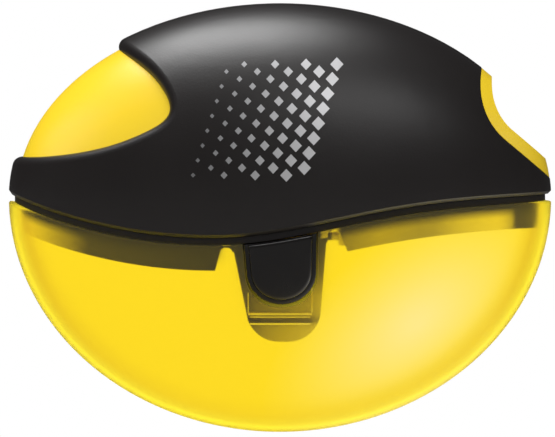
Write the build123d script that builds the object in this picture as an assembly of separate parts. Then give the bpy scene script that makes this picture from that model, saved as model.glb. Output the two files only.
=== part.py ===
from build123d import *

import os
from functools import cache
from math import atan, cos, exp, radians, sin, sqrt

# Hand-held pencil sharpener: a lens-shaped shavings container under a two-colour head.
#
# The head lifts off along +Z once the two side latches are pressed in. Millimetres, +Z up,
# +X towards the pencil port, -Y towards the front. The origin is under the middle of the bowl.
# Shapes are drawn about the equator, where the body is widest, and moved up when they are written.

# Whole body
body_length = 72.0
body_thickness = 33.0
dome_height = 25.7
bowl_depth = 31.25

# Wavy seam between head and container, as heights over the equator
seam_end_drop = 0.4
seam_dip = 5.3
seam_low_x = -9.0
seam_rise_width = 22.0

# Walls and fits
cover_wall = 1.0
cover_side_wall = 1.8
core_wall = 1.3
container_wall = 1.5
container_rim_round = 0.25
fit_gap = 0.05
moving_gap = 0.3
rest_gap = 0.1

# Black covers
cover_split_y = -2.2
split_gap = 0.12
notch_lip_round = 1.3
cover_edge = 0.4
peg_radius = 0.9
peg_places = ((-6.0, 15.0), (15.0, 13.0), (-20.0, 2.0))

# Notch in the covers, from its tip over its apex to its left end, seen from the front
notch_points = (
    (-24.4, 22.2),
    (-19.3, 18.2),
    (-15.2, 14.3),
    (-14.3, 11.6),
    (-17.4, 8.9),
    (-23.9, 6.6),
    (-31.5, 5.5),
    (-39.0, 5.4),
)

# Scoop that the pencil goes in through, seen from the front
scoop_x = 34.94
scoop_z = 14.48
scoop_radius = 7.07
scoop_fall_angle = 50.6
scoop_wall = 1.6

# Pencil port
port_tilt = 30.0
port_radius = 4.2
port_tube_wall = 1.2

# Metal sharpener block, blade and screw
block_setback = 4.5
block_length = 24.0
block_mouth_width = 12.0
block_tip_width = 10.0
block_top = 5.4
cone_mouth_radius = 4.1
cone_tip_radius = 0.5
cone_length = 20.5
blade_bite = 0.4
blade_start = 1.0
blade_length = 22.0
blade_edge_overlap = 0.3
blade_bevel = 1.2
blade_width = 6.0
blade_thickness = 0.6
blade_land = 0.12
screw_along = 14.0
screw_across = 3.4
screw_radius = 1.1
screw_head_radius = 1.9
screw_head_height = 1.0
screw_slot = 0.5
screw_depth = 4.2
pocket_wall = 1.2
pocket_length = 15.0

# Frame under the core
flange_inset = 0.8
flange_top = 0.95
flange_inner_inset = 4.0
collar_height = 4.0
collar_wall = 0.95
skirt_gap = 0.25
skirt_depth = 3.3
skirt_wall = 1.2
slit_width = 1.45
slit_left_slope = 0.27
slit_right_slope = 0.41
slit_top = 0.35
slit_top_round = 0.6
shoulder_wall = 0.65
room_margin = 2.0
end_lug_x = 30.35
end_lug_width = 9.0
end_lug_round = 1.2

# Side latches
tongue_half_width = 6.15
tongue_shift = 0.15
tongue_left_lean = 2.7
tongue_right_lean = 1.05
tongue_drop = 13.5
tongue_round = 4.2
tongue_wall = 1.7
button_half_width = 4.75
button_left_lean = 0.8
button_right_lean = 0.1
button_drop = 8.45
button_round = 4.3
button_recess = 0.15
pad_proud = 0.25
pad_border = 0.65
button_gap = 0.15
button_peg_radius = 1.2
button_peg_drop = 4.2
latch_travel = 6.0
latch_gap = 0.25
ledge_half_width = 4.2
ledge_drop = 9.6
ledge_height = 1.1
ledge_depth = 0.8
ledge_gap = 0.15
hinge_inset = 4.4
hinge_lift = 0.25
hinge_radius = 0.8
hinge_pin_radius = 0.5
hinge_pin_length = 2.3
hinge_pin_gap = 0.06
ear_wall = 0.6
ear_width = 1.3
ear_rise = 1.9
barb_height = 1.0
barb_tip = 0.3

# How closely an edge must follow the outer surface and the seam, and where along it that is tried
rim_slack = 0.12
rim_shares = (0.05, 0.35, 0.65, 0.95)

half_length = body_length / 2
reach = body_length


def seam_height(x):
    """Height of the seam over the equator: a dip, parabolic on its left and a bell curve on its right."""
    if x < seam_low_x:
        share = (x - seam_low_x) / (half_length + seam_low_x)
        dip = 1 - share**2
    else:
        dip = exp(-(((x - seam_low_x) / seam_rise_width) ** 2))
    return -seam_end_drop - seam_dip * dip


def slab(face, near=-reach, far=reach):
    """A face drawn in the front view, as a prism from depth near to depth far."""
    return Pos(0, near, 0) * extrude(Plane.XZ * face, amount=-(far - near))


@cache
def pod(inset, extra=0.0):
    """The whole lens shape, inset from the outer surface, and by an extra step on its broad sides."""
    half_x = half_length - inset
    half_y = body_thickness / 2 - inset - extra
    ball = Sphere(1)
    dome = scale(ball, by=(half_x, half_y, dome_height - inset))
    bowl = scale(ball, by=(half_x, half_y, bowl_depth - inset))
    upper = Box(reach, reach, reach, align=(Align.CENTER, Align.CENTER, Align.MIN))
    lower = Box(reach, reach, reach, align=(Align.CENTER, Align.CENTER, Align.MAX))
    return (dome & upper) + (bowl & lower)


def pod_depth(inset, z):
    """Half the pod's thickness over the middle of its length, at height z below the equator."""
    return (body_thickness / 2 - inset) * sqrt(1 - (z / (bowl_depth - inset)) ** 2)


@cache
def above_seam(lift):
    """Everything higher than the seam curve lifted by lift."""
    side = half_length + 4
    count = 14
    xs = [-side + 2 * side * i / count for i in range(count + 1)]
    curve = Spline(*[(x, seam_height(x) + lift) for x in xs])
    ends = curve @ 0, curve @ 1
    frame = Polyline(ends[0], (-side, reach), (side, reach), ends[1])
    return slab(make_face([curve, frame]))


def seam_band(low, high):
    return above_seam(low) - above_seam(high)


@cache
def shell(outer, inner, extra=0.0):
    return pod(outer, extra) - pod(inner, extra)


@cache
def scoop(grow):
    """The scoop's cut, grown sideways by grow: an arc that runs out in a straight fall to the end."""
    centre = Vector(scoop_x, scoop_z)
    radius = scoop_radius + grow
    rise_angle = radians(150)
    fall_angle = radians(180 + scoop_fall_angle)
    mid_angle = (rise_angle + fall_angle) / 2
    spots = [centre + Vector(cos(a), sin(a)) * radius for a in (rise_angle, mid_angle, fall_angle)]
    bowl_arc = ThreePointArc(*spots)
    fall = bowl_arc % 1
    run_out = Line(bowl_arc @ 1, spots[2] + fall * scoop_radius * 2)
    frame = Polyline(
        run_out @ 1, (reach, (run_out @ 1).Y), (reach, reach), (spots[0].X, reach), bowl_arc @ 0
    )
    return slab(make_face([bowl_arc, run_out, frame]))


# Places that several pieces share
core_inset = cover_wall + fit_gap
core_inner = core_inset + core_wall
core_extra = cover_side_wall - cover_wall
skirt_inset = container_wall + skirt_gap
tongue_inset = container_wall + ledge_depth + latch_gap
head_base = flange_top + fit_gap
slit_half_width = tongue_half_width + slit_width
hinge_z = seam_height(0) + hinge_lift
hinge_y = pod_depth(hinge_inset, hinge_z)
port_angle = radians(port_tilt)
port_way = Vector(-cos(port_angle), 0, -sin(port_angle))
port_centre = Vector(
    scoop_x - scoop_radius * cos(port_angle), 0, scoop_z - scoop_radius * sin(port_angle)
)
# Frame of the port: local Z runs inwards along the pencil, local X is up, local Y is across
port_plane = Plane(port_centre, x_dir=(-sin(port_angle), 0, cos(port_angle)), z_dir=port_way)
# Frame of the block's slanted blade face: local X along it from mouth to tip, local Z out of it
face_slope = atan((cone_mouth_radius - cone_tip_radius) / cone_length)
face_mouth = cone_mouth_radius - blade_bite


def in_port(shape):
    return port_plane.location * shape


def on_face(shape):
    """From the blade face's own frame to the port frame."""
    frame = Plane(
        (-face_mouth, 0, block_setback),
        x_dir=(sin(face_slope), 0, cos(face_slope)),
        z_dir=(-cos(face_slope), 0, sin(face_slope)),
    )
    return frame.location * shape


def tapered_u(half_width, left_lean, right_lean, drop, corner, lift=0.0):
    """A U-shaped tab seen from the front: its top follows the seam, its sides lean inwards over
    the drop, and its lower corners are round."""
    rise = reach / 3
    low = seam_height(0) - drop
    sides = []
    for side, lean in ((-1, left_lean), (1, right_lean)):
        high_x = side * (half_width + lean * rise / drop)
        low_x = side * (half_width - lean)
        sides.append([(high_x, seam_height(0) + rise), (low_x, low)])
    left, right = sides
    face = make_face(Polyline(*left, *reversed(right), close=True))
    corners = face.vertices().sort_by(Axis.Y)[:2]
    tab = slab(fillet(corners, corner))
    return tab - above_seam(lift)


def front_half(split=0.0):
    towards_front = (Align.CENTER, Align.MAX, Align.CENTER)
    return Pos(0, split, 0) * Box(2 * reach, reach, 2 * reach, align=towards_front)


def rear_half(split=0.0):
    return to_rear(front_half(-split))


def to_rear(shape):
    """A front piece turned into its mirror image behind."""
    return mirror(shape, about=Plane.XZ)


def swing_drop(drop):
    """How far the outer face of a button sinks at that drop when its latch is pressed in fully."""
    arm = pod_depth(0, seam_height(0) - drop) - hinge_y
    return max(arm, 0) * sin(radians(latch_travel))


def container():
    bowl = shell(0, container_wall) - above_seam(0)
    window = button_outline(button_gap, swing_drop(button_drop), lift=1)
    ledge_z = seam_height(0) - ledge_drop
    ledge = shell(container_wall - fit_gap, container_wall + ledge_depth) & (
        Pos(0, 0, ledge_z - ledge_height / 2) * Box(2 * ledge_half_width, 2 * reach, ledge_height)
    )
    return fillet(outer_edges(bowl, 0), container_rim_round) - window + ledge


def outer_edges(shape, lift):
    """The edges that run along both the outer surface and the lifted seam."""
    return [edge for edge in shape.edges() if all(on_rim(edge @ share, lift) for share in rim_shares)]


def on_rim(spot, lift):
    height = dome_height if spot.Z > 0 else bowl_depth
    across = (spot.X / half_length) ** 2 + (2 * spot.Y / body_thickness) ** 2
    level = across + (spot.Z / height) ** 2
    off_surface = abs(level - 1) * body_thickness
    off_seam = abs(spot.Z - seam_height(spot.X) - lift)
    return max(off_surface, off_seam) < rim_slack


def scoop_liner():
    """The raised lip and the scooped wall between the pencil's way in and the covers."""
    band = scoop(scoop_wall) - scoop(0)
    return (pod(fit_gap) & band) & above_seam(head_base)


def block_body(grow=0.0, length=block_length):
    """The metal wedge in the port frame, grown on its sides, back and tip."""
    mouth = block_mouth_width / 2 + grow
    tip = mouth - (block_mouth_width - block_tip_width) / 2 * length / block_length
    end = block_setback + length
    top = block_top + grow
    plan = make_face(
        Polyline((-mouth, block_setback), (mouth, block_setback), (tip, end), (-tip, end), close=True)
    )
    wedge = Pos(-top, 0, 0) * extrude(Plane.YZ * plan, amount=2 * top)
    below = on_face(Box(4 * length, 4 * mouth, 4 * top, align=(Align.CENTER, Align.CENTER, Align.MIN)))
    return wedge - below


def pencil_cone():
    """The conical hole with its mouth at the block's near face."""
    on_base = (Align.CENTER, Align.CENTER, Align.MIN)
    return Pos(0, 0, block_setback) * Cone(cone_mouth_radius, cone_tip_radius, cone_length, align=on_base)


def cylinder_z(radius, length):
    return Cylinder(radius, length, align=(Align.CENTER, Align.CENTER, Align.MIN))


def pegs(grow=0.0):
    """The covers' pegs, from the covers through the core's wall, on both sides."""
    group = None
    for x, z in peg_places:
        rod = Pos(x, 0, z) * Rot(90, 0, 0) * Cylinder(peg_radius + grow, 2 * reach)
        group = rod if group is None else group + rod
    return group & (pod(cover_wall / 2) - pod(core_inner + grow, core_extra))


def core_housing():
    dome = shell(core_inset, core_inner, core_extra) & above_seam(head_base)
    dome = dome - scoop(0) - pegs(fit_gap)
    tube = in_port(cylinder_z(port_radius + port_tube_wall, block_setback))
    tube = tube & pod(core_inset, core_extra) - scoop(0)
    outer = block_body(fit_gap + pocket_wall, pocket_length)
    pocket = in_port(outer) & pod(core_inset + fit_gap, core_extra)
    way = Pos(0, 0, -block_setback) * cylinder_z(port_radius, 2 * block_setback)
    core = dome + scoop_liner() + tube + pocket
    return core - in_port(block_body(fit_gap)) - in_port(way) - in_port(pencil_cone())


def notch():
    """The cut that bares the core at the left."""
    edge = Spline(*notch_points)
    frame = Polyline(edge @ 0, (-reach, (edge @ 0).Y), (-reach, (edge @ 1).Y), edge @ 1)
    return slab(make_face([edge, frame]))


def covers():
    skin = (pod(0) - pod(cover_wall, core_extra)) & above_seam(head_base)
    skin = skin - notch() - scoop(scoop_wall + fit_gap)
    notch_rim = skin.edges().sort_by(SortBy.LENGTH)[-1]
    skin = fillet(notch_rim, notch_lip_round)
    return chamfer(outer_edges(skin, head_base), cover_edge)


def front_cover():
    split = cover_split_y - split_gap / 2
    return (covers() & front_half(split)) + (pegs() & front_half(cover_split_y))


def rear_cover():
    split = cover_split_y + split_gap / 2
    return (covers() & rear_half(split)) + (pegs() & rear_half(-cover_split_y))


def skirt_frame():
    flange = shell(flange_inset, flange_inner_inset) & seam_band(rest_gap, flange_top)
    collar_inset = core_inner + fit_gap
    collar = shell(collar_inset, collar_inset + collar_wall, core_extra)
    collar = (collar & seam_band(rest_gap, collar_height)) - scoop(scoop_wall + fit_gap)
    skirt = shell(skirt_inset, skirt_inset + skirt_wall) & seam_band(-skirt_depth, flange_top)
    slits = slit(-1, slit_left_slope) + slit(1, slit_right_slope)
    ring = flange + collar + skirt - latch_room() + shoulders() - slits + end_lug()
    for y in (-1, 1):
        for x in (-1, 1):
            ring = ring + hinge_ear(x, y)
        ring = ring - hinge_hole(y)
    return ring


def latch_room():
    """The way through the frame for a latch."""
    low = seam_height(0) - skirt_depth - room_margin
    height = skirt_depth + collar_height + 2 * room_margin
    on_base = (Align.CENTER, Align.CENTER, Align.MIN)
    room = Pos(0, 0, low) * Box(2 * slit_half_width, 2 * reach, height, align=on_base)
    return room & pod(container_wall)


def slit(side, slope):
    """One slit beside the tongues: round at its top and wider towards its foot."""
    top = seam_height(side * slit_half_width) - slit_top
    low = top - 2 * skirt_depth
    foot = slit_half_width + slope * (top - low)
    right = [(tongue_half_width, low), (tongue_half_width, top), (slit_half_width, top), (foot, low)]
    face = make_face(Polyline(*[(side * x, z) for x, z in right], close=True))
    return slab(fillet(face.vertices().sort_by(Axis.Y)[-2:], slit_top_round))


def shoulders():
    """What joins the skirt above each slit: thin enough to stay in front of the tongue."""
    inner = button_half_width + button_gap + moving_gap
    outer = slit_half_width + slit_top_round
    thin = shell(skirt_inset, skirt_inset + shoulder_wall)
    thin = thin & seam_band(-slit_top - slit_top_round, flange_top)
    place = Pos((inner + outer) / 2, 0, 0)
    right = place * Box(outer - inner, 2 * reach, 2 * reach)
    return thin & (right + mirror(right, about=Plane.YZ))


def hinge_ear(side_x, side_y):
    """The ear beside the slit that a latch's pin turns in."""
    low = hinge_pin_radius + hinge_pin_gap + ear_wall
    on_base = (Align.CENTER, Align.CENTER, Align.MIN)
    block = Box(ear_width, 2 * reach, low + ear_rise, align=on_base)
    block = Pos(side_x * (slit_half_width + ear_width / 2), 0, hinge_z - low) * block
    layer_inset = core_inner + fit_gap
    layer = shell(layer_inset, 2 * (hinge_inset - core_extra) - layer_inset, core_extra)
    side = rear_half() if side_y > 0 else front_half()
    return block & layer & side


def hinge_hole(side_y):
    """The hole for a latch's pins, through both ears and whatever lies beside them."""
    length = 2 * (tongue_half_width + hinge_pin_length + moving_gap)
    return Pos(0, side_y * hinge_y, hinge_z) * Rot(0, 90, 0) * Cylinder(
        hinge_pin_radius + hinge_pin_gap, length
    )


def end_lug():
    """The solid end of the skirt under the pencil port."""
    outline = Pos(end_lug_x, seam_height(end_lug_x) + flange_top) * Rectangle(
        half_length, 2 * (skirt_depth + flange_top), align=(Align.MIN, Align.CENTER)
    )
    corner = outline.vertices().sort_by(Axis.Y)[:2].sort_by(Axis.X)[0]
    face = fillet(corner, end_lug_round)
    lug = slab(face, -end_lug_width / 2, end_lug_width / 2)
    return (lug & pod(skirt_inset)) - above_seam(flange_top)


def tongue_outline():
    return Pos(-tongue_shift, 0, 0) * tapered_u(
        tongue_half_width,
        tongue_left_lean,
        tongue_right_lean,
        tongue_drop,
        tongue_round,
        lift=collar_height,
    )


def over_hinge():
    on_base = (Align.CENTER, Align.CENTER, Align.MIN)
    return Pos(0, 0, hinge_z) * Box(2 * reach, 2 * reach, 2 * reach, align=on_base)


def front_tongue():
    outline = tongue_outline()
    plate = (outline & shell(tongue_inset, tongue_inset + tongue_wall) & front_half()) - over_hinge()
    axle = Pos(0, -hinge_y, hinge_z) * Rot(0, 90, 0)
    barrel = axle * Cylinder(hinge_radius, 2 * tongue_half_width)
    pins = axle * Cylinder(hinge_pin_radius, 2 * (tongue_half_width + hinge_pin_length))
    socket = button_peg(fit_gap)
    return plate + barrel + pins + (barb() & outline) - socket


def barb():
    """The catch on the tongue that hooks under the container's ledge, with a slanted lower face."""
    top = seam_height(0) - ledge_drop - ledge_height - ledge_gap
    outer = -pod_depth(skirt_inset, top)
    root = -pod_depth(tongue_inset + tongue_wall / 2, top)
    outline = Polyline(
        (outer, top), (root, top), (root, top - barb_height), (outer + barb_tip, top - barb_tip), close=True
    )
    hook = extrude(Plane.YZ * make_face(outline), amount=2 * ledge_half_width)
    return Pos(-ledge_half_width, 0, 0) * hook & pod(skirt_inset)


def button_peg(grow=0.0):
    """The stub on the button's back that plugs into the tongue."""
    z = seam_height(0) - button_peg_drop
    rod = Pos(0, 0, z) * Rot(90, 0, 0) * Cylinder(button_peg_radius + grow, reach)
    layer = shell(container_wall, tongue_inset + tongue_wall)
    return rod & layer & front_half()


def button_outline(grow, extra_drop=0.0, lift=0.0):
    """The button's outline grown by grow on its sides and below, and by an extra drop below."""
    return tapered_u(
        button_half_width + grow,
        button_left_lean,
        button_right_lean,
        button_drop + grow + extra_drop,
        button_round + grow,
        lift,
    )


def front_button():
    cap = button_outline(0, lift=-rest_gap) & shell(button_recess, tongue_inset - fit_gap)
    pad = button_outline(-pad_border, lift=-rest_gap - pad_border)
    pad = pad & shell(-pad_proud, container_wall)
    return ((cap + pad) & front_half()) + button_peg()


def sharpener_block():
    hole = cylinder_z(screw_radius + fit_gap, 2 * screw_depth)
    hole = on_face(Pos(screw_along, screw_across, -screw_depth) * hole)
    return in_port(block_body() - pencil_cone() - hole)


def blade():
    plate = Box(blade_length, blade_width, blade_thickness, align=(Align.MIN, Align.MIN, Align.MIN))
    edge = plate.edges().filter_by(Axis.X).sort_by(Axis.Y)[:2].sort_by(Axis.Z)[-1]
    near_face = plate.faces().sort_by(Axis.Y)[0]
    plate = chamfer(edge, blade_thickness - blade_land, blade_bevel, reference=near_face)
    plate = Pos(blade_start, -blade_edge_overlap, 0) * plate
    hole = cylinder_z(screw_radius + fit_gap, 3 * blade_thickness)
    hole = Pos(screw_along, screw_across, -blade_thickness) * hole
    return in_port(on_face(Pos(0, 0, fit_gap) * (plate - hole)))


def blade_screw():
    seat = blade_thickness + 2 * fit_gap
    head = cylinder_z(screw_head_radius, screw_head_height)
    slot = Pos(0, 0, screw_head_height) * Box(2 * screw_head_radius, screw_slot, screw_head_height)
    shank = Pos(0, 0, -screw_depth) * cylinder_z(screw_radius, screw_depth + fit_gap)
    screw = head - slot + shank
    return in_port(on_face(Pos(screw_along, screw_across, seat) * screw))


def export(shape, node):
    export_step(Pos(0, 0, bowl_depth) * shape, f"parts/{node}.step")


os.makedirs("parts", exist_ok=True)
export(container(), "container")
export(core_housing(), "core_housing")
export(front_cover(), "front_cover")
export(rear_cover(), "rear_cover")
export(skirt_frame(), "skirt_frame")
export(sharpener_block(), "sharpener_block")
export(blade(), "blade")
export(blade_screw(), "blade_screw")
for name, piece in (("tongue", front_tongue()), ("button", front_button())):
    export(piece, f"front_{name}")
    export(to_rear(piece), f"rear_{name}")
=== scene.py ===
import bpy
import bmesh
from math import cos, exp, pi, radians, sin, sqrt
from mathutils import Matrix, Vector


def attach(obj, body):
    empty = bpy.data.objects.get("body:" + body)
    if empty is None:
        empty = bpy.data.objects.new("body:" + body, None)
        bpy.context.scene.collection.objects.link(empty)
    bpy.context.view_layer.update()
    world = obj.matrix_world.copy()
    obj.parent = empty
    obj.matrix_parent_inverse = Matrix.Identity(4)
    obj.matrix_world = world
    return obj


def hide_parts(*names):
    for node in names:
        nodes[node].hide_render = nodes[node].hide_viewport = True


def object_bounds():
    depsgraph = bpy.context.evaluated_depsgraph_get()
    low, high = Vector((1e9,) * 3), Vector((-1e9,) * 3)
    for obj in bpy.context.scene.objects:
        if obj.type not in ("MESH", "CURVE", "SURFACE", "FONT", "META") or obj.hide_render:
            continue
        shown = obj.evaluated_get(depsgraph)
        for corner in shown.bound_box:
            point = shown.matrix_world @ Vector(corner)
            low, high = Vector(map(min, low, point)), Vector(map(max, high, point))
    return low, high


# Hand-held pencil sharpener: finishes, push buttons, printed motif, catch lines, studio

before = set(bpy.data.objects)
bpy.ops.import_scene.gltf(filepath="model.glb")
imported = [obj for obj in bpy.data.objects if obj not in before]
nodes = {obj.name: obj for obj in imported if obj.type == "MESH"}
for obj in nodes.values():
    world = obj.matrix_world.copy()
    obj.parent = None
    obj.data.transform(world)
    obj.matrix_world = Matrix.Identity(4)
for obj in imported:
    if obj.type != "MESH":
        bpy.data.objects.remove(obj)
cadLow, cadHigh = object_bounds()
print("frame loaded:", len(nodes), "nodes")

mm = 0.001

bodySet = dict(
    halfLength=36 * mm,
    halfThickness=16.5 * mm,
    domeHeight=25.7 * mm,  # from the widest level to the top of the covers
)
halfLength = bodySet["halfLength"]
equatorZ = cadHigh.z - bodySet["domeHeight"]
bowlDepth = equatorZ - cadLow.z


# Shader building

class Wire:
    # one node output; arithmetic on it adds Math nodes
    def __init__(self, finish, socket):
        self.finish = finish
        self.socket = socket

    def sum(self, operation, a, b):
        return self.finish.node("ShaderNodeMath", dict(operation=operation), {0: a, 1: b})

    def __add__(self, other):
        return self.sum("ADD", self, other)

    def __radd__(self, other):
        return self.sum("ADD", other, self)

    def __sub__(self, other):
        return self.sum("SUBTRACT", self, other)

    def __rsub__(self, other):
        return self.sum("SUBTRACT", other, self)

    def __mul__(self, other):
        return self.sum("MULTIPLY", self, other)

    def __rmul__(self, other):
        return self.sum("MULTIPLY", other, self)


class Finish:
    # a material with one Principled shader; constants go straight onto its sockets
    def __init__(self, name, **constants):
        self.material = bpy.data.materials.new(name)
        self.material.use_nodes = True
        self.tree = self.material.node_tree
        self.shader = self.tree.nodes["Principled BSDF"]
        for key, value in constants.items():
            self.set(key.replace("_", " "), value)

    def set(self, socketName, value):
        self.plug(self.shader.inputs[socketName], value)

    def plug(self, socket, value):
        if isinstance(value, Wire):
            self.tree.links.new(value.socket, socket)
        else:
            socket.default_value = value

    def node(self, kind, settings=None, inputs=None, output=0):
        made = self.tree.nodes.new(kind)
        for key, value in (settings or {}).items():
            if key == "stops":
                self.setStops(made.color_ramp, value)
            else:
                setattr(made, key, value)
        for key, value in (inputs or {}).items():
            self.plug(made.inputs[key], value)
        return Wire(self, made.outputs[output])

    def setStops(self, ramp, stops):
        while len(ramp.elements) < len(stops):
            ramp.elements.new(0.5)
        for element, (place, level) in zip(ramp.elements, stops):
            element.position = place
            element.color = (level, level, level, 1)

    def place(self, stretch=(1, 1, 1), turn=(0, 0, 0)):
        coordinates = self.node("ShaderNodeTexCoord", output="Object")
        inputs = {"Vector": coordinates, "Scale": stretch, "Rotation": turn}
        return self.node("ShaderNodeMapping", inputs=inputs)

    def axis(self, index):
        # one Object coordinate: 0 along the body, 1 through it, 2 up
        return self.node("ShaderNodeSeparateXYZ", inputs={0: self.place()}, output=index)

    def ball(self, centre, reach, turn=(0, 0, 0)):
        # 1 at the centre, down to 0 at the reach along each axis
        coordinates = self.node("ShaderNodeTexCoord", output="Object")
        inputs = {"Vector": coordinates, "Location": centre, "Rotation": turn, "Scale": reach}
        around = self.node("ShaderNodeMapping", dict(vector_type="TEXTURE"), inputs)
        return self.node("ShaderNodeTexGradient", dict(gradient_type="SPHERICAL"), {0: around}, 1)

    def ramp(self, value, stops):
        return self.node("ShaderNodeValToRGB", dict(stops=stops), {0: value})

    def noise(self, scale, detail=2.0, at=None):
        inputs = {"Vector": at or self.place(), "Scale": scale, "Detail": detail}
        return self.node("ShaderNodeTexNoise", inputs=inputs)

    def mix(self, factor, a, b):
        inputs = {0: factor, 6: a, 7: b}
        return self.node("ShaderNodeMix", dict(data_type="RGBA"), inputs, output=2)

    def bump(self, height, distance):
        inputs = {"Height": height, "Distance": distance}
        self.set("Normal", self.node("ShaderNodeBump", inputs=inputs))


def spread(finish, value, low, high):
    # 0 at low, 1 at high
    inputs = {"Value": value, "From Min": low, "From Max": high}
    return finish.node("ShaderNodeMapRange", inputs=inputs)


def makePlastic(name, s):
    finish = Finish(name, IOR=1.5, Specular_IOR_Level=s["specular"])
    grain = finish.noise(s["grainScale"], s["grainDetail"])
    cloud = finish.noise(s["cloudScale"], s["cloudDetail"])
    finish.set("Base Color", finish.mix(cloud, s["colour"], s["colourWorn"]))
    finish.set("Roughness", s["roughLow"] + cloud * s["roughSpan"])
    finish.bump(grain, s["grainDepth"])
    return finish


def dress(nodeName, finish):
    slots = nodes[nodeName].data.materials
    slots.clear()
    slots.append(finish.material)


# Camera and framing

cameraSet = dict(
    aimX=-0.332 * mm,
    aimDrop=2.856 * mm,  # aim point, under the widest level
    elevation=2.5,
    distance=0.5,
    sensor=36.0,
    lensPerDistance=488.3,
    clipNear=0.01,
    clipFar=50,
)


def makeCamera(s):
    camera = bpy.data.objects.new("camera", bpy.data.cameras.new("camera"))
    bpy.context.collection.objects.link(camera)
    tilt = radians(s["elevation"])
    aim = Vector((s["aimX"], 0, equatorZ - s["aimDrop"]))
    back = Vector((0, -cos(tilt), sin(tilt)))
    camera.location = aim + back * s["distance"]
    camera.rotation_mode = "QUATERNION"
    camera.rotation_quaternion = (-back).to_track_quat("-Z", "Y")
    camera.data.sensor_width = s["sensor"]
    camera.data.lens = s["distance"] * s["lensPerDistance"]
    camera.data.clip_start = s["clipNear"]
    camera.data.clip_end = s["clipFar"]
    bpy.context.scene.camera = camera


makeCamera(cameraSet)
print("camera placed")


# Covers: satin black plastic with a fine grain

coverFinishSet = dict(
    colour=(0.0060, 0.0044, 0.0043, 1),
    colourWorn=(0.0075, 0.0058, 0.0056, 1),
    specular=0.76,
    roughLow=0.36,
    roughSpan=0.08,
    grainScale=3600,
    grainDetail=3.0,
    grainDepth=0.012 * mm,
    cloudScale=90,
    cloudDetail=2.0,
)

coverFinish = makePlastic("coverSatin", coverFinishSet)
for nodeName in ("front_cover", "rear_cover"):
    dress(nodeName, coverFinish)


# Core: satin yellow plastic

coreFinishSet = dict(
    colour=(0.74, 0.515, 0.010, 1),
    colourWorn=(0.71, 0.49, 0.008, 1),
    specular=0.9,
    roughLow=0.28,
    roughSpan=0.10,
    grainScale=2600,
    grainDetail=2.0,
    grainDepth=0.006 * mm,
    cloudScale=110,
    cloudDetail=2.0,
)

dress("core_housing", makePlastic("coreSatin", coreFinishSet))
print("covers and core dressed")


# Container: translucent amber, with painted light: a paler patch, a darker band inside the outline
# and a faint constant glow

containerFinishSet = dict(
    colour=(1.0, 0.845, 0.035, 1),
    colourDeep=(0.99, 0.835, 0.028, 1),
    # painted highlight: a paler patch low on one side stands in for light gathering in the wall
    colourPaintedGlow=(1.0, 0.90, 0.50, 1),
    paintedGlowX=18 * mm,  # middle of the painted glow, a paler patch
    paintedGlowDrop=16.5 * mm,  # under the widest level
    paintedGlowTurn=(0, radians(-38), 0),
    paintedGlowReach=(24 * mm, 1.0, 12.5 * mm),
    paintedGlowFade=(0.03, 0.13),  # shares of the way in from the rim
    # painted shade: the wall is painted darker in a band just inside its outline and deeper at the
    # very edge; places are shares of the way in from the rim
    colourRimShade=(0.84, 0.655, 0.008, 1),
    colourEdgeShade=(1.0, 0.755, 0.010, 1),
    rimShadeStops=((0, 0.35), (0.008, 0.6), (0.02, 1.0), (0.05, 1.0), (0.092, 0)),
    rimShadeLow=0.3,  # the band's strength at the bottom
    rimShadeHigh=0.9,  # and at the widest level
    edgeShadeFrom=0.016,
    edgeShadeFull=0.006,
    # painted glow: a faint constant emission stands in for light scattered in the wall
    paintedScatterGlow=(0.004, 0.005, 0.014, 1),
    transmission=0.985,
    ior=1.1,
    specular=0.2,
    roughLow=0.30,
    roughSpan=0.06,
    cloudScale=70,
    rippleScale=900,
    rippleDepth=0.002 * mm,
)


def makeContainerFinish(s):
    finish = Finish("containerAmber", IOR=s["ior"])
    finish.set("Transmission Weight", s["transmission"])
    finish.set("Specular IOR Level", s["specular"])
    # painted glow: faint constant emission
    finish.set("Emission Color", s["paintedScatterGlow"])
    finish.set("Emission Strength", 1.0)
    cloud = finish.noise(s["cloudScale"], 2.0)
    ripple = finish.noise(s["rippleScale"], 1.0)
    amber = finish.mix(cloud, s["colour"], s["colourDeep"])
    # painted highlight: the paler patch, faded out near the rim
    paintedGlowPatch = finish.ball((s["paintedGlowX"], 0, equatorZ - s["paintedGlowDrop"]), s["paintedGlowReach"], s["paintedGlowTurn"])
    inward = finish.ball((0, 0, equatorZ), (halfLength, 1.0, bowlDepth))
    withPaintedGlow = finish.mix(paintedGlowPatch * spread(finish, inward, *s["paintedGlowFade"]), amber, s["colourPaintedGlow"])
    # painted shade: a darker band just inside the outline, stronger towards the widest level
    risen = spread(finish, finish.axis(2), cadLow.z, equatorZ)
    strength = s["rimShadeLow"] + risen * (s["rimShadeHigh"] - s["rimShadeLow"])
    rimShaded = finish.mix(finish.ramp(inward, s["rimShadeStops"]) * strength, withPaintedGlow, s["colourRimShade"])
    # painted shade: a deeper tone at the very edge
    edgeShade = spread(finish, inward, s["edgeShadeFrom"], s["edgeShadeFull"])
    finish.set("Base Color", finish.mix(edgeShade, rimShaded, s["colourEdgeShade"]))
    finish.set("Roughness", s["roughLow"] + cloud * s["roughSpan"])
    finish.bump(ripple, s["rippleDepth"])
    return finish


dress("container", makeContainerFinish(containerFinishSet))
print("container dressed")


# Frame and latch tongues: black plastic with painted light; its colour carries the light that comes
# through the container's wall

seamSet = dict(endDrop=0.4 * mm, dip=5.3 * mm, lowX=-9 * mm, riseWidth=22 * mm)


def seamDip(x):
    s = seamSet
    away = x - s["lowX"]
    if away < 0:
        return 1 - (away / (halfLength + s["lowX"])) ** 2
    return exp(-(away / s["riseWidth"]) ** 2)


def seamHeight(x):
    return equatorZ - seamSet["endDrop"] - seamSet["dip"] * seamDip(x)


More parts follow.
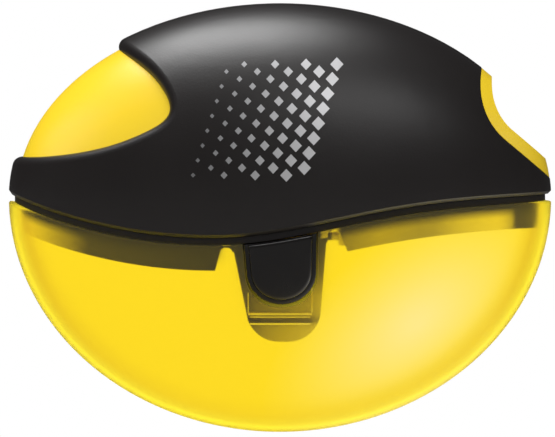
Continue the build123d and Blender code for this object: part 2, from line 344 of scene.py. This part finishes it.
paintedLightBlackSet = dict(
    colour=(0.012, 0.0105, 0.0105, 1),
    colourLit=(0.82, 0.77, 0.20, 1),
    ior=1.48,
    specular=0.25,
    roughLow=0.45,
    roughSpan=0.12,
    grainScale=2400,
    grainDetail=3.0,
    grainDepth=0.010 * mm,
)


def startPaintedLightBlack(name):
    return Finish(name, IOR=paintedLightBlackSet["ior"], Specular_IOR_Level=paintedLightBlackSet["specular"])


def paintLightOnBlack(finish, lit):
    # lit is 0 where the plastic stays black and 1 where it is fully lit
    s = paintedLightBlackSet
    finish.set("Base Color", finish.mix(lit, s["colour"], s["colourLit"]))
    grain = finish.noise(s["grainScale"], s["grainDetail"])
    finish.set("Roughness", s["roughLow"] + grain * s["roughSpan"])
    finish.bump(grain, s["grainDepth"])
    return finish


frameFinishSet = dict(
    # places along the body in mm, and how lit each is
    litAlong=((-36, 1.0), (-34, 1.0), (-32.5, 1.0), (-29, 0.48), (-25, 0.05), (-8, 0.0), (7, 0.22),
              (9.5, 0.36), (13, 0.52), (18, 0.42), (20, 0.46), (24, 0.82), (28.5, 1.0),
              (30.0, 0.7), (30.8, 0.04), (33.5, 0.04), (34.4, 0.3), (36, 0.6)),
    litFrom=0.5 * mm,  # under the seam
    litFull=1.7 * mm,
    # beside the latch, light comes through all the way up to the seam
    litNotch=((5.0, 0), (5.4, 0.45), (7.3, 0.9), (7.7, 0)),
    notchFrom=0.1 * mm,  # under the seam
    notchFull=0.3 * mm,
    litEar=((5.0, 0), (5.4, 0.85), (9.4, 0.85), (9.8, 0)),
    earFrom=13.3 * mm,  # from the middle plane
    earFull=13.1 * mm,
    seamSteps=15,
)


def makeFrameFinish(s):
    finish = startPaintedLightBlack("framePaintedLight")
    along = spread(finish, finish.axis(0), -halfLength, halfLength)
    shares = [step / s["seamSteps"] for step in range(s["seamSteps"] + 1)]
    dip = finish.ramp(along, [(share, seamDip((2 * share - 1) * halfLength)) for share in shares])
    under = (equatorZ - seamSet["endDrop"]) - dip * seamSet["dip"] - finish.axis(2)
    below = spread(finish, under, s["litFrom"], s["litFull"])
    rim = spread(finish, under, s["notchFrom"], s["notchFull"])
    ramps = []
    for key in ("litAlong", "litNotch", "litEar"):
        stops = [((x * mm + halfLength) / (2 * halfLength), level) for x, level in s[key]]
        ramps.append(finish.ramp(along, stops))
    away = finish.node("ShaderNodeMath", dict(operation="ABSOLUTE"), {0: finish.axis(1)})
    inside = spread(finish, away, s["earFrom"], s["earFull"])
    # painted light: black where shaded, lit olive where light comes through the container's wall
    return paintLightOnBlack(finish, ramps[0] * below + ramps[1] * rim + ramps[2] * inside)


dress("skirt_frame", makeFrameFinish(frameFinishSet))

tongueFinishSet = dict(
    # places across the tongue and down it, in mm, and how lit each is
    litAcross=((-6.5, 0.05), (-3.9, 0.17), (-2, 0.38), (0, 0.5), (1.9, 0.6), (3.9, 0.68), (5.5, 0.9)),
    litDown=((5, 0.05), (7.2, 0.125), (8.8, 0.21), (10.3, 0.39), (11.9, 0.62), (13.5, 0.7),
             (14.6, 0.65), (15.0, 0.6), (15.25, 0.42), (15.75, 0.42), (16.0, 0.85), (16.5, 1.0)),
    litPins=((-6.7, 0.85), (-6.4, 0), (6.5, 0), (6.8, 0.85)),
    deepest=20 * mm,
    widest=10 * mm,
)


def makeTongueFinish(s):
    finish = startPaintedLightBlack("tonguePaintedLight")
    down = spread(finish, finish.axis(2), equatorZ, equatorZ - s["deepest"])
    litDown = finish.ramp(down, [(drop * mm / s["deepest"], level) for drop, level in s["litDown"]])
    side = spread(finish, finish.axis(0), -s["widest"], s["widest"])
    ramps = []
    for key in ("litAcross", "litPins"):
        stops = [(x * mm / (2 * s["widest"]) + 0.5, level) for x, level in s[key]]
        ramps.append(finish.ramp(side, stops))
    # painted light: the tongue is painted lighter where light comes through the container's wall
    return paintLightOnBlack(finish, litDown * ramps[0] + ramps[1])


tongueFinish = makeTongueFinish(tongueFinishSet)
for nodeName in ("front_tongue", "rear_tongue"):
    dress(nodeName, tongueFinish)
print("frame and tongues dressed")


# Pieces that follow the lens shape

pieceSet = dict(smoothAngle=radians(32))


def onBody(x, z, proud, side=-1):
    # a point that stands proud of the outer surface; x and z are from its widest level
    height = bodySet["domeHeight"] if z > 0 else bowlDepth
    depth = sqrt(1 - (x / halfLength) ** 2 - (z / height) ** 2) * bodySet["halfThickness"]
    return Vector((x, side * (depth + proud), equatorZ + z))


def bridge(shape, ringA, ringB):
    for i in range(len(ringA)):
        j = (i + 1) % len(ringA)
        shape.faces.new((ringA[i], ringA[j], ringB[j], ringB[i]))


def fan(shape, ring, point):
    middle = shape.verts.new(point)
    for i in range(len(ring)):
        shape.faces.new((ring[i], ring[(i + 1) % len(ring)], middle))


def addPiece(name, shape, finish, body):
    bmesh.ops.recalc_face_normals(shape, faces=shape.faces)
    mesh = bpy.data.meshes.new(name)
    shape.to_mesh(mesh)
    shape.free()
    mesh.materials.append(finish.material)
    for face in mesh.polygons:
        face.use_smooth = True
    mesh.set_sharp_from_angle(angle=pieceSet["smoothAngle"])
    piece = bpy.data.objects.new(name, mesh)
    bpy.context.collection.objects.link(piece)
    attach(piece, body)
    return piece


# Buttons: glossy black plastic pads with a bevelled edge, sunk a little in a flat border

buttonSet = dict(
    halfWidth=4.75 * mm,
    leftLean=0.8 * mm,
    rightLean=0.1 * mm,
    drop=8.45 * mm,
    round=4.3 * mm,
    middleX=0.2 * mm,
    middleDrop=8.8 * mm,  # under the widest level
    # inset from the outline, inset from the seam, proud of the body, all in mm
    rings=((0, 0.05, -2.4), (0, 0.05, -0.28), (0.05, 0.08, -0.19), (0.14, 0.12, -0.15),
           (0.56, 0.18, -0.17), (0.60, 0.20, -0.02), (0.66, 0.25, 0.10), (0.76, 0.34, 0.19),
           (0.90, 0.46, 0.235), (1.10, 0.66, 0.25)),
    shrinks=(0.75, 0.5, 0.25),
    padProud=0.25 * mm,
    sideSteps=9,
    arcSteps=26,
    topSteps=14,
    pegRadius=1.18 * mm,
    pegDrop=4.2 * mm,  # under the seam
    pegEnd=4.2 * mm,  # inside the body's outer surface
    pegSteps=24,
)
buttonFinishSet = dict(
    colour=(0.0040, 0.0033, 0.0033, 1),
    colourWorn=(0.0060, 0.0052, 0.0052, 1),
    specular=0.5,
    roughLow=0.22,
    roughSpan=0.08,
    grainScale=5200,
    grainDetail=2.0,
    grainDepth=0.004 * mm,
    cloudScale=260,
    cloudDetail=3.0,
)


def seamFall(x):
    return seamHeight(x) - equatorZ


def buttonOutline(s, inset, topInset):
    # seen from the front, from the top left down, round and back along the seam
    def sideX(side, lean, z):
        return side * (s["halfWidth"] - inset - lean * (seamFall(0) - z) / s["drop"])

    low = seamFall(0) - s["drop"] + inset
    turn = low + s["round"] - inset
    left, right = sideX(-1, s["leftLean"], turn), sideX(1, s["rightLean"], turn)
    topLeft = seamFall(sideX(-1, s["leftLean"], seamFall(0))) - topInset
    topRight = seamFall(sideX(1, s["rightLean"], seamFall(0))) - topInset
    points = []
    for i in range(s["sideSteps"]):
        z = topLeft + (turn - topLeft) * i / s["sideSteps"]
        points.append((sideX(-1, s["leftLean"], z), z))
    for i in range(s["arcSteps"]):
        angle = pi * i / s["arcSteps"]
        middle, reach = (left + right) / 2, (right - left) / 2
        points.append((middle - reach * cos(angle), turn - (turn - low) * sin(angle)))
    for i in range(s["sideSteps"]):
        z = turn + (topRight - turn) * i / s["sideSteps"]
        points.append((sideX(1, s["rightLean"], z), z))
    cornerRight, cornerLeft = sideX(1, s["rightLean"], topRight), points[0][0]
    for i in range(s["topSteps"]):
        x = cornerRight + (cornerLeft - cornerRight) * i / s["topSteps"]
        points.append((x, seamFall(x) - topInset))
    return points


def makeButton(s, name, side, body, nodeName, finish):
    shape = bmesh.new()
    rings = []
    for inset, topInset, proud in s["rings"]:
        outline = buttonOutline(s, inset * mm, topInset * mm)
        rings.append([shape.verts.new(onBody(x, z, proud * mm, side)) for x, z in outline])
    middle = (s["middleX"], -s["middleDrop"])
    for share in s["shrinks"]:
        spots = [(middle[0] + (x - middle[0]) * share, middle[1] + (z - middle[1]) * share)
                 for x, z in outline]
        rings.append([shape.verts.new(onBody(x, z, s["padProud"], side)) for x, z in spots])
    for ringA, ringB in zip(rings, rings[1:]):
        bridge(shape, ringA, ringB)
    fan(shape, rings[-1], onBody(*middle, s["padProud"], side))
    fan(shape, rings[0], onBody(*middle, s["rings"][0][2] * mm, side))
    peg = []
    level = seamFall(0) - s["pegDrop"]
    angles = [2 * pi * i / s["pegSteps"] for i in range(s["pegSteps"])]
    for proud in (s["rings"][0][2] * mm, -s["pegEnd"]):
        depth = onBody(0, level, proud, side).y
        peg.append([shape.verts.new((s["pegRadius"] * cos(angle), depth,
                                     equatorZ + level + s["pegRadius"] * sin(angle)))
                    for angle in angles])
    bridge(shape, *peg)
    for ring in peg:
        shape.faces.new(ring)
    piece = addPiece(name, shape, finish, body)
    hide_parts(nodeName)


buttonFinish = makePlastic("buttonGloss", buttonFinishSet)
makeButton(buttonSet, "buttonFront", -1, "front_latch", "front_button", buttonFinish)
makeButton(buttonSet, "buttonRear", 1, "rear_latch", "rear_button", buttonFinish)
print("buttons made")


# Printed motif: slanted columns of diamonds that grow towards the port

printSet = dict(
    columns=8,
    rows=8,
    leftX=-11.2 * mm,
    lowZ=3.4 * mm,
    stepX=2.0 * mm,
    stepZ=1.9 * mm,
    slant=0.32,
    stagger=0.5,  # of a step, every second column
    smallest=0.30 * mm,
    growth=0.08 * mm,
    tall=1.06,
    proud=0.03 * mm,
    sunk=0.10 * mm,
    colourPale=(0.60, 0.60, 0.61, 1),
    colourDim=(0.17, 0.17, 0.175, 1),
    metallic=0.55,
    roughLow=0.34,
    roughSpan=0.12,
    flakeScale=4200,
)


def makePrintFinish(s):
    finish = Finish("printSilver", Metallic=s["metallic"], IOR=1.5)
    share = spread(finish, finish.axis(0), s["leftX"], s["leftX"] + s["columns"] * s["stepX"])
    flake = finish.noise(s["flakeScale"], 2.0)
    finish.set("Base Color", finish.mix(share, s["colourDim"], s["colourPale"]))
    finish.set("Roughness", s["roughLow"] + flake * s["roughSpan"])
    return finish


def makePrint(s):
    shape = bmesh.new()
    for column in range(s["columns"]):
        reachX = s["smallest"] + s["growth"] * column
        reachZ = reachX * s["tall"]
        for row in range(s["rows"]):
            z = s["lowZ"] + s["stepZ"] * (row + s["stagger"] * (column % 2))
            x = s["leftX"] + s["stepX"] * column + s["slant"] * (z - s["lowZ"])
            corners = ((x - reachX, z), (x, z - reachZ), (x + reachX, z), (x, z + reachZ))
            low = [shape.verts.new(onBody(*spot, -s["sunk"])) for spot in corners]
            high = [shape.verts.new(onBody(*spot, s["proud"])) for spot in corners]
            bridge(shape, low, high)
            fan(shape, high, onBody(x, z, s["proud"]))
            fan(shape, low, onBody(x, z, -s["sunk"]))
    addPiece("printMotif", shape, makePrintFinish(s), "head")


makePrint(printSet)
print("motif printed")


# Pale strips along the container's catch lines, behind its wall: painted highlights on the moulded
# edges

catchHighlightSet = dict(
    # left, right, low, high, inset of the near and far faces, all in mm from the widest level
    lines=((-4.15, 4.15, -14.82, -14.54, 2.30, 2.42), (-3.9, 3.9, -15.14, -14.98, 2.30, 2.42),
           (-3.9, 3.9, -16.04, -15.84, 1.50, 1.62),
           (-4.17, -4.07, -14.45, -11.8, 1.50, 1.60), (4.07, 4.17, -14.45, -11.0, 1.50, 1.60)),
    steps=12,
    colour=(0.86, 0.74, 0.40, 1),
    colourDeep=(0.70, 0.60, 0.30, 1),
    ior=1.45,
    roughLow=0.4,
    roughSpan=0.1,
    cloudScale=900,
)


def makeCatchHighlights(s, name, side):
    shape = bmesh.new()
    for left, right, low, high, near, far in s["lines"]:
        rings = []
        for i in range(s["steps"] + 1):
            x = (left + (right - left) * i / s["steps"]) * mm
            corners = ((low, near), (high, near), (high, far), (low, far))
            rings.append([shape.verts.new(onBody(x, z * mm, -inset * mm, side))
                          for z, inset in corners])
        for ringA, ringB in zip(rings, rings[1:]):
            bridge(shape, ringA, ringB)
        shape.faces.new(rings[0])
        shape.faces.new(rings[-1])
    # painted highlight: a pale opaque colour for the lit edges of the catch
    finish = Finish("catchPaintedHighlight", IOR=s["ior"])
    cloud = finish.noise(s["cloudScale"], 2.0)
    finish.set("Base Color", finish.mix(cloud, s["colour"], s["colourDeep"]))
    finish.set("Roughness", s["roughLow"] + cloud * s["roughSpan"])
    addPiece(name, shape, finish, "container")


makeCatchHighlights(catchHighlightSet, "catchHighlightFront", -1)
makeCatchHighlights(catchHighlightSet, "catchHighlightRear", 1)
print("catch lines made")


# Sharpener block, blade and screw: three metals

metalSet = dict(
    colourLines=(0.35, 0.35, 0.36, 1),
    linesShare=0.4,
    roughSpan=0.15,
    portTurn=(0, radians(30), 0),
    millScale=500,
    millDepth=0.012 * mm,
)
metals = (
    dict(node="sharpener_block", name="blockMilled", colour=(0.62, 0.62, 0.64, 1), rough=0.34,
         stretch=(8, 1, 8)),
    dict(node="blade", name="bladeGround", colour=(0.66, 0.67, 0.70, 1), rough=0.20,
         stretch=(14, 1, 1)),
    dict(node="blade_screw", name="screwPlated", colour=(0.70, 0.62, 0.42, 1), rough=0.26,
         stretch=(1, 1, 1)),
)


def makeMetal(s, metal):
    finish = Finish(metal["name"], Metallic=1.0)
    lines = finish.noise(s["millScale"], at=finish.place(metal["stretch"], s["portTurn"]))
    finish.set("Base Color", finish.mix(lines * s["linesShare"], metal["colour"], s["colourLines"]))
    finish.set("Roughness", metal["rough"] + lines * s["roughSpan"])
    finish.bump(lines, s["millDepth"])
    return finish


for metal in metals:
    dress(metal["node"], makeMetal(metalSet, metal))
print("metals dressed")


# Studio: white floor and surround, two softboxes above, softer lights in front and at the sides

studioSet = dict(
    floorSize=6.0,
    floorColour=(0.14, 0.14, 0.14, 1),
    floorRough=0.8,
    # two soft pools of light that the floor gives off under the object; the camera sees plain white
    amberPool=(0.95, 0.72, 0.05, 1),
    amberReach=48 * mm,
    palePool=(2.6, 2.5, 2.4, 1),
    paleReach=45 * mm,
    paleMiddle=(40.5 * mm, -18 * mm, 0),
    # the surround's strength for each kind of ray
    surround={
        "Is Camera Ray": 1.0,
        "Is Transmission Ray": 1.40,
        "Is Glossy Ray": 0.05,
        "Is Diffuse Ray": 0.36,
    },
)
lightSets = (
    dict(name="key", at=(-0.10, 0.01, 0.52), aim=(0, 0, 0.03), size=(0.27, 0.30), power=2.25),
    dict(name="topFront", at=(0.20, -0.44, 0.45), aim=(0, 0, 0.03), size=(0.32, 0.16), power=0.46),
    dict(name="front", at=(-0.10, -0.55, 0.16), aim=(0, 0, 0.03), size=(0.40, 0.30), power=1.35,
         gloss=False),
    dict(name="left", at=(-0.46, -0.10, 0.20), aim=(0, 0, 0.03), size=(0.30, 0.30), power=1.5,
         gloss=False),
    dict(name="right", at=(0.46, -0.10, 0.16), aim=(0, 0, 0.03), size=(0.30, 0.30), power=0.8,
         gloss=False),
)


def makeLight(s):
    lamp = bpy.data.lights.new(s["name"], "AREA")
    lamp.shape = "RECTANGLE"
    lamp.size, lamp.size_y = s["size"]
    lamp.energy = s["power"]
    light = bpy.data.objects.new(s["name"], lamp)
    bpy.context.collection.objects.link(light)
    light.location = s["at"]
    way = Vector(s["aim"]) - Vector(s["at"])
    light.rotation_mode = "QUATERNION"
    light.rotation_quaternion = way.to_track_quat("-Z", "Y")
    light.visible_camera = False
    light.visible_transmission = False
    light.visible_glossy = s.get("gloss", True)


def makeFloor(s):
    shape = bmesh.new()
    bmesh.ops.create_grid(shape, x_segments=1, y_segments=1, size=s["floorSize"] / 2)
    mesh = bpy.data.meshes.new("floor")
    shape.to_mesh(mesh)
    shape.free()
    floor = bpy.data.objects.new("floor", mesh)
    bpy.context.collection.objects.link(floor)
    finish = Finish("floorWhite", Base_Color=s["floorColour"], Roughness=s["floorRough"])
    amber = finish.mix(finish.ball((0, 0, 0), (s["amberReach"],) * 3), (0, 0, 0, 1), s["amberPool"])
    pale = finish.ball(s["paleMiddle"], (s["paleReach"],) * 3)
    finish.set("Emission Color", finish.mix(pale, amber, s["palePool"]))
    finish.set("Emission Strength", 1.0)
    mesh.materials.append(finish.material)
    direct = finish.node("ShaderNodeLightPath", output="Is Camera Ray")
    through = finish.node("ShaderNodeLightPath", output="Is Transmission Ray")
    glow = finish.node("ShaderNodeEmission", inputs={"Color": (1, 1, 1, 1), "Strength": 1.0})
    out = finish.tree.nodes["Material Output"]
    shader = Wire(finish, finish.shader.outputs[0])
    both = finish.node("ShaderNodeMixShader", inputs={0: direct + through, 1: shader, 2: glow})
    finish.plug(out.inputs["Surface"], both)


def makeSurround(s):
    world = bpy.data.worlds.new("surround")
    bpy.context.scene.world = world
    world.use_nodes = True
    tree = world.node_tree
    tree.nodes.clear()
    path = tree.nodes.new("ShaderNodeLightPath")
    total = None
    for kind, level in s["surround"].items():
        share = tree.nodes.new("ShaderNodeMath")
        share.operation = "MULTIPLY_ADD"
        share.inputs[1].default_value = level
        share.inputs[2].default_value = 0.0
        tree.links.new(path.outputs[kind], share.inputs[0])
        if total:
            tree.links.new(total, share.inputs[2])
        total = share.outputs[0]
    ground = tree.nodes.new("ShaderNodeBackground")
    out = tree.nodes.new("ShaderNodeOutputWorld")
    tree.links.new(total, ground.inputs["Strength"])
    ground.inputs["Color"].default_value = (1, 1, 1, 1)
    tree.links.new(ground.outputs[0], out.inputs["Surface"])


makeFloor(studioSet)
makeSurround(studioSet)
for lightSet in lightSets:
    makeLight(lightSet)
bpy.context.scene.view_settings.view_transform = "Standard"
print("studio lit")
